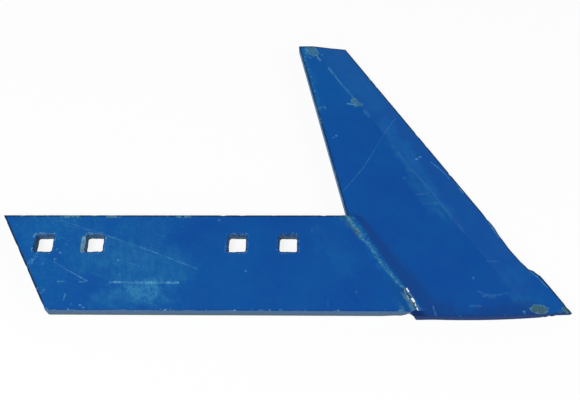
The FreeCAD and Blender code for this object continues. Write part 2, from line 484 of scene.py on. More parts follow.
# Across the front weld's cap: distance from the bar's end, at places down the joint
CREST_PLACE = (
    (-62.5, 7.2), (-52.0, 8.3), (-44.0, 8.1), (-40.0, 6.8), (-34.0, 5.1), (-25.0, 4.2),
    (-14.0, 3.4), (0.0, 2.6), (5.0, 1.2), (14.0, 1.5), (20.6, 1.8), (27.5, 0.9))
SHOULDER_PLACE = ((-62.5, 10.9), (-54.0, 11.2), (-38.0, 9.8), (-17.0, 8.0), (18.0, 8.0), (27.5, 7.4))
TOE_PLACE = ((-62.5, 17.0), (-47.0, 19.0), (-17.0, 17.2), (18.0, 14.6), (27.5, 12.6))
# Where the cap starts on the bar, how far past its toe it ends on the blade, and how high it goes
CAP_START = -2.3
PAST_TOE = 0.3
CAP_CEILING = 12.86
# Under the cap: distance from the bar's end, and height
UNDERSIDE = ((-2.4, 11.6), (0.0, 11.5), (0.05, 5.0), (ROOT_GAP, 5.0), (8.0, 9.4), (20.0, 9.4))
# How far up the lower end of the cap is cut away, from nothing at the bar to this past the crest
CUT_RISE = 4.2


def joint_place(away, y, z):
    """The point at a distance from the bar's end face."""
    return JOINT_X + (BAR_TOP - y) * LEAN_TAN + away / LEAN_COS, y, z


def doubled_grid(bm, along, across):
    """A grid from -1 to 1 with a copy of it, joined round their rims. Returns the copy."""
    bmesh.ops.create_grid(bm, x_segments=along, y_segments=across, size=1.0)
    pushed = bmesh.ops.extrude_face_region(bm, geom=bm.faces[:], use_keep_orig=True)["geom"]
    return {item for item in pushed if isinstance(item, bmesh.types.BMVert)}


def crest_at(y):
    return straight(CREST_PLACE, y) + 0.9 * grain(3.0, y, 5.5, 3.0) + 0.45 * grain(8.0, y, 1.9, 3.0)


def shoulder_at(y):
    return straight(SHOULDER_PLACE, y) + 0.3 * grain(0.0, y, 7.0, 6.0)


def weld_cap_height(away, y):
    """Height of the weld's cap at a distance from the bar's end."""
    crest = crest_at(y)
    shoulder = shoulder_at(y)
    toe = straight(TOE_PLACE, y) + 0.3 * grain(0.0, y, 9.0, 8.0)
    torn = 0.5 + 0.5 * grain(0.0, y, 4.0, 1.0)
    top = 12.22 + 0.2 * grain(0.0, y, 11.0, 1.0)
    low = smooth(y, -36.0, -44.0)
    shape = (
        (-2.4, BAR_THICK - 0.05), (-1.2, 12.02), (-0.3, 12.04),
        (crest - 1.3, top - 0.14 - 0.35 * low), (crest - 0.7, top - 0.25 * torn - 0.55 * low),
        (crest - 0.25, top + 0.15 * torn), (crest + 0.1, top + 0.30 * torn), (crest + 0.9, top),
        (shoulder - 1.3, 12.08), (shoulder, 11.85), (shoulder + 1.0, 11.4),
        (toe - 1.5, BLADE_THICK + 0.14), (toe + 0.4, BLADE_THICK - 0.04))
    height = straight(shape, away)
    ripple = math.sin((y + 0.04 * (away - 5.0) ** 2) * 2.0 * math.pi / 2.3 + 1.3 * grain(away, y, 5.0))
    body = smooth(away, -1.0, 1.5) * (1.0 - smooth(away, shoulder - 1.0, shoulder + 2.0))
    height += body * (0.06 * ripple + 0.15 * grain(away, y, 1.7, 2.0) + 0.08 * grain(away, y, 0.8, 4.0))
    height += 0.05 * grain(away, y, 1.5, 5.0) * (1.0 - smooth(away, toe - 3.0, toe - 1.0))
    bed = BAR_THICK if away < 0.0 else BLADE_THICK
    for end in (BAR_TOP, BAR_BOTTOM):
        edge = 1.0 - smooth(abs(y - end), 0.2, 1.8)
        height -= edge * 0.45 * max(0.0, height - bed)
    return min(CAP_CEILING, height)


def weld_cap(materials):
    """The front weld run: a long grid laid over the joint and given a body under it."""
    bm = bmesh.new()
    crest_layer = bm.verts.layers.float.new("crest_gap")
    shoulder_layer = bm.verts.layers.float.new("shoulder_gap")
    under = doubled_grid(bm, 230, 60)
    for vert in bm.verts:
        down = (vert.co.x + 1.0) / 2.0
        across = (vert.co.y + 1.0) / 2.0
        y = BAR_TOP - WELD_SLACK + (BAR_BOTTOM - BAR_TOP + 2.0 * WELD_SLACK) * down
        away = CAP_START + across * (straight(TOE_PLACE, y) + PAST_TOE - CAP_START)
        cut = 1.2 if vert in under else CUT_RISE * smooth(away, 0.5, 9.0)
        y += cut * smooth(down, 0.95, 1.0)
        z = straight(UNDERSIDE, away) if vert in under else weld_cap_height(away, y)
        vert[crest_layer] = away - crest_at(y)
        vert[shoulder_layer] = away - shoulder_at(y)
        vert.co = joint_place(away, y, z)
    finish_piece(bm, "front_weld_cap", "front_weld_bead", materials, crease=60.0)


def back_weld_run(materials):
    """The back weld run: a wedge ground flush with both plates, its lower end dressed back."""
    bm = bmesh.new()
    root = doubled_grid(bm, 90, 8)
    for vert in bm.verts:
        down = (vert.co.x + 1.0) / 2.0
        across = (vert.co.y + 1.0) / 2.0
        low_end = BAR_BOTTOM + (1.4 if vert in root else 2.4)
        y = BAR_TOP - WELD_SLACK + (low_end - BAR_TOP + WELD_SLACK) * down
        away = across * (ROOT_GAP if vert in root else BACK_WELD_WIDTH)
        z = 4.95 if vert in root else 0.02 + 0.02 * grain(away, y, 1.2)
        vert.co = joint_place(away, y, z)
    finish_piece(bm, "ground_back_run", "back_weld_bead", materials)


# Finishes

def tint(red, green, blue):
    """A colour given as it looks on a screen, made into light values."""
    def light(value):
        value /= 255.0
        return value / 12.92 if value <= 0.04045 else ((value + 0.055) / 1.055) ** 2.4
    return (light(red), light(green), light(blue), 1.0)


ENAMEL = tint(12, 78, 156)
ENAMEL_DEEP = tint(14, 74, 152)
ENAMEL_FADED = tint(14, 90, 160)
# Navy for the painted shade on the blade beside the front weld
PAINTED_SHADE_NAVY = tint(20, 67, 136)
SCUFFED = tint(44, 130, 172)
SCRATCH_PALE = tint(102, 168, 206)
PRIMER_GREEN = tint(50, 108, 140)
PRIMER_PALE = tint(88, 142, 166)
OLIVE = tint(54, 86, 92)
BARE_STEEL = tint(112, 122, 124)
EDGE_DARK = tint(16, 36, 58)
SIDE_PALE = tint(60, 100, 142)
SIDE_KHAKI = tint(74, 96, 106)
WALL_NAVY = tint(50, 96, 144)
WALL_PALE = tint(92, 122, 142)
GLINT = tint(244, 250, 252)


class Mixer:
    """A node tree being put together, with short ways to add its nodes."""

    def __init__(self, owner):
        owner.use_nodes = True
        self.nodes = owner.node_tree.nodes
        self.links = owner.node_tree.links
        self.nodes.clear()

    def add(self, kind, inputs=None, **settings):
        """A new node with its settings, and with values or other nodes' outputs as its inputs."""
        node = self.nodes.new(kind)
        for name, value in settings.items():
            setattr(node, name, value)
        for name, value in (inputs or {}).items():
            if isinstance(value, bpy.types.NodeSocket):
                self.links.new(value, node.inputs[name])
            else:
                node.inputs[name].default_value = value
        return node

    def split(self, value):
        return self.add("ShaderNodeSeparateXYZ", {0: value}).outputs

    def number(self, operation, a, b=0.0):
        return self.add("ShaderNodeMath", {0: a, 1: b}, operation=operation).outputs[0]

    def in_turn(self, operation, values):
        result = values[0]
        for value in values[1:]:
            result = self.number(operation, result, value)
        return result

    def times(self, *values):
        return self.in_turn("MULTIPLY", values)

    def plus(self, *values):
        return self.in_turn("ADD", values)

    def most(self, *values):
        return self.in_turn("MAXIMUM", values)

    def least(self, *values):
        return self.in_turn("MINIMUM", values)

    def minus(self, a, b):
        return self.number("SUBTRACT", a, b)

    def fade(self, value, low, high, start=0.0, end=1.0):
        """Goes smoothly from start at low to end at high, where high may be the smaller."""
        given = {"Value": value, "From Min": low, "From Max": high, "To Min": start, "To Max": end}
        return self.add("ShaderNodeMapRange", given, interpolation_type="SMOOTHSTEP").outputs[0]

    def span(self, value, start, full, last, end):
        """Rises smoothly from 0 at start to 1 at full, and falls from 1 at last to 0 at end."""
        return self.times(self.fade(value, start, full), self.fade(value, end, last))

    def around(self, value, middle, outer, inner):
        """1 where the value is no more than inner from the middle, and 0 from outer on."""
        return self.fade(self.number("ABSOLUTE", self.minus(value, middle)), outer, inner)


class Finish(Mixer):
    """A material being mixed. Its places and sizes are in millimetres."""

    def __init__(self, name):
        self.material = bpy.data.materials.new(name)
        super().__init__(self.material)
        metres = self.add("ShaderNodeTexCoord").outputs["Object"]
        self.place = self.vector("SCALE", metres, by=1.0 / MM)
        self.x, self.y, self.z = self.split(self.place)

    def vector(self, operation, a, b=None, by=None):
        given = {0: a, 1: b, "Scale": by}
        given = {name: value for name, value in given.items() if value is not None}
        return self.add("ShaderNodeVectorMath", given, operation=operation).outputs[0]

    def measure(self, operation, a, b):
        """A number got from two vectors."""
        return self.add("ShaderNodeVectorMath", {0: a, 1: b}, operation=operation).outputs["Value"]

    def from_line(self, point, direction):
        """Distance from a line in the plate that goes through a point, square to a direction."""
        return self.plus(self.times(self.minus(self.x, point[0]), direction[0]),
                         self.times(self.minus(self.y, point[1]), direction[1]))

    def coat(self, under, over, *shares):
        """A colour laid over another, as strongly as the shares multiplied say."""
        given = {0: self.times(*shares), 6: under, 7: over}
        return self.add("ShaderNodeMix", given, data_type="RGBA").outputs[2]

    def clouds(self, size, detail=2.0, rough=0.5, shift=0.0, place=None):
        where = self.place if place is None else place
        moved = self.vector("ADD", where, (shift, shift * 0.7, shift * 0.3))
        given = {"Vector": moved, "Scale": 1.0 / size, "Detail": detail, "Roughness": rough}
        return self.add("ShaderNodeTexNoise", given).outputs[0]

    def streaks(self, along, across, turn, detail, rough, shift):
        """Clouds drawn out along a direction in the plate."""
        given = {"Vector": self.place, "Rotation": (0.0, 0.0, math.radians(turn)),
                 "Scale": (along, across, across)}
        drawn = self.add("ShaderNodeMapping", given, vector_type="TEXTURE").outputs[0]
        return self.clouds(1.0, detail, rough, shift, drawn)

    def shaken(self, size, amount, shift=0.0):
        """The places laid flat and moved about a little, which makes straight borders ragged."""
        moved = self.vector("ADD", self.place, (shift, shift, shift))
        noisy = self.add("ShaderNodeTexNoise", {"Vector": moved, "Scale": 1.0 / size, "Detail": 3.0})
        away = self.vector("SUBTRACT", noisy.outputs["Color"], (0.5, 0.5, 0.5))
        there = self.vector("ADD", self.place, self.vector("SCALE", away, by=2.0 * amount))
        return self.vector("MULTIPLY", there, (1.0, 1.0, 0.0))

    def flecks(self, size, share, radius, shift=0.0):
        """Scattered small spots: cell size, share of cells that hold one, and spot radius."""
        moved = self.vector("ADD", self.place, (shift, shift, 0.0))
        cells = self.add("ShaderNodeTexVoronoi", {"Vector": moved, "Scale": 1.0 / size}).outputs
        chosen = self.fade(self.split(cells["Color"])[0], share, share * 0.9)
        return self.times(chosen, self.fade(cells["Distance"], radius, radius * 0.4))

    def random_nicks(self, size, share, half_length, half_width, shift=0.0):
        """Scattered short scratches, each turned its own way, about one in each cell chosen."""
        moved = self.vector("ADD", self.place, (shift, -shift, 0.0))
        where = self.vector("MULTIPLY", moved, (1.0, 1.0, 0.0))
        cells = self.add("ShaderNodeTexVoronoi", {"Vector": where, "Scale": 1.0 / size}).outputs
        middle = self.vector("SCALE", cells["Position"], by=size)
        chance = self.split(cells["Color"])
        given = {"Vector": self.vector("SUBTRACT", where, middle),
                 "Angle": self.times(chance[1], math.tau)}
        turned = self.add("ShaderNodeVectorRotate", given, rotation_type="Z_AXIS").outputs[0]
        along, across = self.split(turned)[:2]
        nick = self.times(self.around(across, 0.0, half_width, half_width * 0.3),
                          self.around(along, 0.0, half_length, half_length * 0.4))
        chosen = self.fade(chance[0], share, share * 0.8)
        return self.times(nick, chosen, self.fade(chance[2], 0.0, 1.0, 0.3, 1.0))

    def wear_lines(self, place, lines):
        """Strength of the strongest of several straight rubs, given as ends, width and strength."""
        strongest = 0.0
        for (ax, ay), (bx, by), width, strength in lines:
            length = math.hypot(bx - ax, by - ay)
            run = ((bx - ax) / length, (by - ay) / length, 0.0)
            here = self.vector("SUBTRACT", place, (ax, ay, 0.0))
            along = self.least(self.most(self.measure("DOT_PRODUCT", here, run), 0.0), length)
            gap = self.measure("DISTANCE", here, self.vector("SCALE", run, by=along))
            strongest = self.most(strongest, self.fade(gap, 0.35 * width, width, strength, 0.0))
        return strongest

    def attribute(self, name):
        given = {"attribute_type": "GEOMETRY", "attribute_name": name}
        return self.add("ShaderNodeAttribute", **given).outputs["Fac"]

    def surface(self, colour, roughness, metal, height, specular=0.22):
        """Ends the material with its shader, and a bump whose height is in millimetres."""
        bump = self.add("ShaderNodeBump", {"Strength": 1.0, "Distance": MM, "Height": height})
        shader = self.add("ShaderNodeBsdfPrincipled", {
            "Base Color": colour, "Roughness": roughness, "Metallic": metal,
            "Specular IOR Level": specular, "Normal": bump.outputs["Normal"]})
        self.add("ShaderNodeOutputMaterial", {"Surface": shader.outputs[0]})
        return self.material


def rubs(*scratches):
    """The straight runs of scratches, each given as its width, strength and points."""
    return [(a, b, width, strength) for width, strength, *points in scratches
            for a, b in zip(points, points[1:])]


def dabs(size, strength, *places):
    """Small spots of wear, each a very short run."""
    return [((x - 0.3, y), (x + 0.3, y), size, strength) for x, y in places]


BAR_SCRATCHES = (
    rubs(
        (0.75, 0.22, (-96.8, 22.4), (-82.5, 17.4), (-63.8, 11.2), (-51.4, 6.6)),
        (0.62, 0.42, (-51.4, 6.6), (-25.7, -2.6), (-12.9, -7.2), (29.6, -24.4)),
        (0.6, 0.2, (-94.2, 17.4), (-74.0, 13.2), (-55.5, 9.6)),
        (0.6, 0.42, (-96.2, -18.1), (-73.0, -31.3)),
        (0.7, 0.6, (-73.0, -31.3), (-64.6, -35.9)),
        (1.35, 0.72, (-44.8, -36.9), (-16.0, -37.1), (14.2, -37.2)),
        (0.85, 0.45, (-90.0, -36.4), (-84.5, -36.3)),
        (1.05, 0.55, (-71.0, -36.6), (-66.8, -36.6)),
        (1.3, 0.34, (-118.4, -19.8), (-117.6, -17.2), (-116.2, -15.6)),
        (1.3, 0.36, (-115.6, -20.0), (-115.2, -16.8), (-113.2, -14.6), (-113.4, -12.6)),
        (1.0, 0.36, (-103.0, -47.2), (-100.4, -44.0)),
        (1.0, 0.36, (-82.9, -53.2), (-81.8, -47.8)),
        (0.6, 0.2, (-9.3, -43.9), (13.0, -54.6)),
        (0.9, 0.32, (128.8, 14.2), (128.9, 10.6)),
        (0.9, 0.32, (142.4, -54.6), (142.2, -58.2)))
    + dabs(1.3, 0.55, (-105.3, -20.2), (-95.2, -5.9), (-95.5, -15.5), (71.6, -26.2))
    + dabs(1.1, 0.65, (-67.7, -57.6), (-64.8, -59.8), (-40.0, -16.3))
    + dabs(1.3, 0.38, (166.1, -45.1), (-91.8, -9.4), (-75.5, -56.8), (46.0, 22.6)))
# Larger rubbed zones on the bar: ends, width, strength
BAR_ZONES = (
    ((-22.0, -43.0), (-10.0, -45.0), 19.0, 1.3),
    ((-62.0, -8.0), (4.0, -24.0), 30.0, 0.75),
    ((-50.0, -52.0), (2.0, -50.0), 16.0, 0.7),
    ((-36.0, 8.0), (-8.0, 14.0), 20.0, 0.4),
    ((-130.0, 16.0), (-84.0, 20.0), 12.0, 0.45),
    ((134.0, 10.0), (158.0, -18.0), 13.0, 0.18),
)
# The brightest rubbed spots on the bar: ends, width, strength
BAR_BRIGHT_ZONES = (
    ((-27.0, -44.0), (-7.0, -47.0), 9.5, 1.0),
    ((-44.0, -14.0), (-18.0, -18.0), 11.0, 0.35),
    ((-40.0, -50.0), (-14.0, -54.0), 8.0, 0.40),
    ((-118.0, 6.0), (-108.0, -14.0), 10.0, 0.30),
)


def broken_up(f, low, high, least):
    """How long scratches skip: fine gaps, and longer ones that leave at least a share of them."""
    fine = f.fade(f.clouds(1.5, 3.0, 0.6, 12.0), 0.38, 0.58, 0.25, 1.0)
    return f.times(fine, f.fade(f.clouds(9.0, 2.0, 0.5, 44.0), low, high, least, 1.0))


def enamel_roughness(f, haze, worn, side):
    """An even gloss, duller where the enamel is scuffed or worn off and on the plate's sides."""
    plain = f.fade(f.clouds(9.0, 3.0, 0.6, 15.0), 0.3, 0.7, 0.28, 0.38)
    return f.most(plain, f.times(haze, 0.5), f.times(worn, 0.6), f.times(side, 0.8))


def enamel_relief(f, wave):
    """Fine orange peel over shallow waves of the given size."""
    peel = f.times(f.clouds(0.9, 2.0, 0.5, 80.0), 0.03)
    return f.plus(peel, f.times(f.clouds(wave, 2.0, 0.5), 0.3))


def landside_enamel():
    """Blue enamel on the bar: faded and scuffed in the middle, scratched, chipped at its rims."""
    f = Finish("blue_enamel_on_landside_bar")
    inset = f.attribute("inset")
    hole_gap = f.attribute("hole_gap")
    front = f.fade(f.z, 10.8, 11.6)
    arris = f.plus(inset, f.least(f.minus(BAR_THICK, f.z), f.z))

    patchy = f.clouds(46.0, 3.0, 0.55)
    colour = f.coat(ENAMEL_DEEP, ENAMEL_FADED, f.fade(patchy, 0.35, 0.72, 0.0, 0.45))
    colour = f.coat(colour, ENAMEL_FADED, f.fade(f.x, 70.0, -120.0, 0.0, 0.45))
    blurred = f.shaken(16.0, 15.0, 2.0)
    zones = f.times(f.wear_lines(blurred, BAR_ZONES), front)
    smeared = f.streaks(9.0, 4.0, -78.0, 6.0, 0.72, 31.0)
    haze = f.times(zones, f.fade(smeared, 0.30, 0.70, 0.15, 1.0))
    colour = f.coat(colour, SCUFFED, haze, 0.46)
    fine = f.most(f.fade(f.streaks(26.0, 1.0, -19.0, 3.0, 0.6, 5.0), 0.58, 0.72),
                  f.fade(f.streaks(17.0, 0.8, 6.0, 3.0, 0.6, 9.0), 0.62, 0.76, 0.0, 0.8))
    fine = f.times(fine, f.plus(f.fade(f.x, 60.0, -20.0, 0.07, 0.20), f.times(haze, 0.80)))
    colour = f.coat(colour, SCUFFED, fine, front)
    bright = f.times(f.wear_lines(blurred, BAR_BRIGHT_ZONES), front)
    sanded = f.fade(f.streaks(2.6, 1.0, -70.0, 4.0, 0.75, 17.0), 0.42, 0.64, 0.06, 1.0)
    colour = f.coat(colour, tint(70, 154, 200), bright, sanded, 0.42)
    grit = f.times(f.fade(f.clouds(1.5, 4.0, 0.75, 63.0), 0.53, 0.70),
                   f.fade(f.clouds(21.0, 2.0, 0.5, 8.0), 0.42, 0.60),
                   f.fade(f.x, 60.0, -60.0, 0.25, 1.0))
    colour = f.coat(colour, SCUFFED, grit, 0.6)
    dots = f.flecks(5.0, 0.22, 0.13, 3.0)
    colour = f.coat(colour, SCRATCH_PALE, dots, f.fade(f.x, 80.0, -60.0, 0.12, 0.40))

    nicks = f.most(f.random_nicks(8.0, 0.34, 2.6, 0.46), f.random_nicks(23.0, 0.50, 9.0, 0.44, 7.0))
    nicks = f.times(nicks, front, f.fade(f.x, 60.0, -50.0, 0.20, 0.60))
    tiny = f.times(f.random_nicks(4.0, 0.50, 1.2, 0.46, 3.0), zones, front, 0.55)
    colour = f.coat(colour, SCRATCH_PALE, f.most(nicks, tiny))
    scratches = f.wear_lines(f.shaken(3.0, 0.35), BAR_SCRATCHES)
    marks = f.times(scratches, broken_up(f, 0.36, 0.58, 0.35), front)
    colour = f.coat(colour, SCRATCH_PALE, marks)

    edge_noise = f.clouds(4.5, 3.0, 0.65, 21.0)
    rim = f.fade(f.plus(arris, f.times(edge_noise, 1.4)), 2.9, 1.8)
    colour = f.coat(colour, EDGE_DARK, rim, f.fade(f.y, -57.0, -52.0, 0.35, 1.0), 0.92)
    along_top = f.most(f.span(f.x, -98.0, -93.0, -82.0, -78.0),
                       f.span(f.x, -57.0, -54.0, -45.0, -41.0), f.span(f.x, 6.0, 10.0, 18.0, 23.0))
    chipped = f.times(along_top, f.fade(f.y, 24.2, 25.2), f.fade(edge_noise, 0.40, 0.52), front)
    bitten = f.times(f.fade(arris, 2.4, 1.2), f.fade(f.clouds(6.0, 2.0, 0.7, 40.0), 0.59, 0.67))
    bitten = f.most(bitten, chipped)
    colour = f.coat(colour, PRIMER_PALE, bitten, 0.75)

    hole_noise = f.times(f.clouds(2.4, 3.0, 0.6, 55.0), 2.0)
    colour = f.coat(colour, EDGE_DARK, f.fade(f.plus(hole_gap, hole_noise), 2.6, 1.4), 0.92)
    halo = f.times(f.around(hole_gap, 1.8, 1.0, 0.1), f.fade(f.clouds(2.2, 3.0, 0.6, 61.0), 0.50, 0.62))
    colour = f.coat(colour, SCRATCH_PALE, halo, f.fade(f.x, 40.0, -90.0, 0.35, 0.75), front)
    dish = f.times(f.around(f.y, 0.0, 9.6, 8.6), f.span(f.z, 8.0, 9.0, 11.6, 11.93),
                   f.fade(hole_gap, 0.1, 0.5), f.around(f.x, -73.0, 3.6, 2.6))
    brushed = f.fade(f.clouds(1.6, 3.0, 0.6, 70.0), 0.34, 0.60)
    colour = f.coat(colour, f.coat(tint(78, 122, 142), tint(108, 156, 190), brushed), dish)

    away = f.from_line((JOINT_X, BAR_TOP), (LEAN_COS, LEAN_SIN))
    near_weld = f.most(f.times(f.fade(away, -8.0, -1.0), f.fade(f.y, -46.0, -58.0)),
                       f.times(f.fade(away, -8.0, -2.0), f.fade(f.y, 10.0, 22.0)))
    spatter = f.fade(f.clouds(4.0, 4.0, 0.65, 90.0), 0.40, 0.58)
    colour = f.coat(colour, PRIMER_GREEN, near_weld, spatter, 0.7)
    side = f.times(f.fade(inset, 0.6, 0.15), f.fade(f.y, -60.0, -61.5))
    worn_side = f.streaks(30.0, 2.0, 0.0, 4.0, 0.65, 77.0)
    low = f.plus(f.fade(f.z, 8.5, 4.5), f.fade(worn_side, 0.3, 0.7, -0.45, 0.45))
    strip = f.coat(SIDE_PALE, SIDE_KHAKI, low)
    strip = f.coat(strip, EDGE_DARK, f.fade(f.z, 1.6, 0.4, 0.0, 0.6))
    colour = f.coat(colour, strip, side, 0.96)

    metal = f.times(f.most(dish, f.times(bitten, 0.6)), 0.25)
    sunk = f.times(f.most(f.times(bitten, 0.8), f.times(grit, 0.5)), 0.06)
    rough = enamel_roughness(f, haze, f.most(marks, dish), side)
    return f.surface(colour, rough, metal, f.minus(enamel_relief(f, 14.0), sunk))


def punched_wall():
    """Inside of the square holes: a smooth sheared band, then a torn one with thin dark paint."""
    f = Finish("thin_paint_in_punched_holes")
    colour = f.coat(WALL_NAVY, EDGE_DARK, f.fade(f.clouds(2.0, 3.0, 0.6, 4.0), 0.46, 0.62, 0.0, 0.75))
    rubbed = f.fade(f.clouds(2.6, 4.0, 0.7, 8.0), 0.36, 0.60, 0.2, 0.9)
    colour = f.coat(colour, WALL_PALE, f.fade(f.z, 8.4, 7.4), rubbed)
    line = f.times(f.around(f.z, 8.3, 0.8, 0.15), f.fade(f.clouds(2.8, 2.0, 0.5, 16.0), 0.40, 0.56))
    colour = f.coat(colour, BARE_STEEL, line, 0.4)
    colour = f.coat(colour, EDGE_DARK, f.fade(f.z, 3.4, 2.2), 0.8)
    relief = f.times(f.clouds(1.1, 4.0, 0.65, 23.0), f.fade(f.z, 8.6, 7.4, 0.05, 0.5))
    return f.surface(colour, f.fade(f.z, 8.6, 7.4, 0.55, 0.8), f.times(line, 0.2), relief, 0.06)


BLADE_SCRATCHES = (
    rubs(
        (0.6, 0.26, (208.6, 134.0), (199.4, 118.9), (184.4, 91.5), (175.6, 76.6), (156.9, 52.2)),
        (1.35, 0.44, (145.2, 190.3), (156.5, 172.2), (168.8, 154.8)),
        (1.6, 0.11, (204.0, 100.0), (214.6, 84.0), (235.4, 53.7), (262.0, 11.8)),
        (1.2, 0.6, (162.8, 147.8), (169.8, 146.6)),
        (2.6, 0.2, (179.0, 139.0), (183.0, 133.6)),
        (0.95, 0.45, (239.3, 85.2), (246.2, 78.8), (252.1, 72.3), (254.5, 68.3)),
        (1.0, 0.66, (121.9, 213.0), (124.8, 211.6), (122.0, 208.4), (126.2, 207.2)),
        (1.0, 0.55, (120.9, 203.8), (124.4, 205.4), (127.6, 202.4)),
        (1.1, 0.3, (135.6, 142.4), (140.4, 144.6), (141.6, 142.0)),
        (1.1, 0.3, (230.4, -56.5), (232.3, -65.0)),
        (0.95, 0.18, (279.5, -15.4), (291.0, -15.4)),
        (1.6, 0.15, (269.2, -43.4), (272.6, -44.6)),
        (2.0, 0.17, (273.6, -47.0), (277.6, -46.4)),
        (2.2, 0.18, (278.8, -47.8), (283.0, -47.2)),
        (1.2, 0.15, (285.4, -46.0), (289.0, -46.2)),
        (1.0, 0.15, (290.6, -44.8), (293.8, -45.0)),
        (1.3, 0.15, (261.4, -56.2), (270.2, -56.4)),
        (1.1, 0.16, (222.6, 49.0), (234.0, 50.6)),
        (1.1, 0.16, (228.0, 39.6), (243.0, 40.6)),
        (0.85, 0.42, (317.2, -23.0), (320.8, -26.6), (324.4, -30.8), (329.6, -37.6)),
        (0.95, 0.75, (286.2, 24.2), (288.2, 20.2), (289.4, 16.6)),
        (0.8, 0.6, (289.8, 18.4), (291.0, 14.2)),
        (1.0, 0.6, (291.8, 13.2), (293.2, 10.0)),
        (1.3, 0.6, (263.2, 58.4), (265.8, 54.2)))
    + dabs(1.2, 0.45, (121.4, 199.4), (125.0, 188.0), (127.9, 179.6), (129.4, 171.4), (131.6, 162.8))
    + dabs(1.8, 0.5, (225.9, 87.4), (229.2, 90.0))
    + dabs(1.1, 0.55, (148.9, 109.6), (151.6, 111.6), (212.6, 66.1))
    + dabs(1.4, 0.45, (266.1, -31.3), (138.6, 206.7), (305.6, -61.0)))
# Wide faint rubs on the blade: ends, width, strength
BLADE_ZONES = (
    ((200.0, 124.0), (216.0, 92.0), 11.0, 0.80),
    ((214.0, 92.0), (232.0, 60.0), 10.0, 0.85),
    ((226.0, 62.0), (246.0, 30.0), 12.0, 0.75),
    ((118.0, 214.0), (134.0, 140.0), 6.5, 0.75),
    ((300.0, -48.0), (318.0, -56.0), 8.0, 0.8),
    ((168.0, 176.0), (190.0, 150.0), 16.0, 0.35),
    ((295.0, -30.0), (318.0, -20.0), 12.0, 0.35),
)
# Spots rubbed or chipped down to the primer: ends of a short run, width, strength
BLADE_PATCHES = (
    ((127.4, 214.0), (130.4, 208.6), 5.8, 1.0),
    ((133.6, 205.0), (136.4, 200.4), 1.8, 0.5),
    ((169.6, 151.4), (172.6, 147.6), 4.0, 1.0),
    ((171.2, 145.8), (175.6, 147.2), 2.4, 1.0),
    ((313.6, -58.7), (325.4, -58.2), 3.2, 1.0),
    ((317.0, -58.3), (321.8, -58.1), 5.6, 1.0),
    ((340.0, -57.0), (344.4, -60.6), 2.4, 0.8),
)


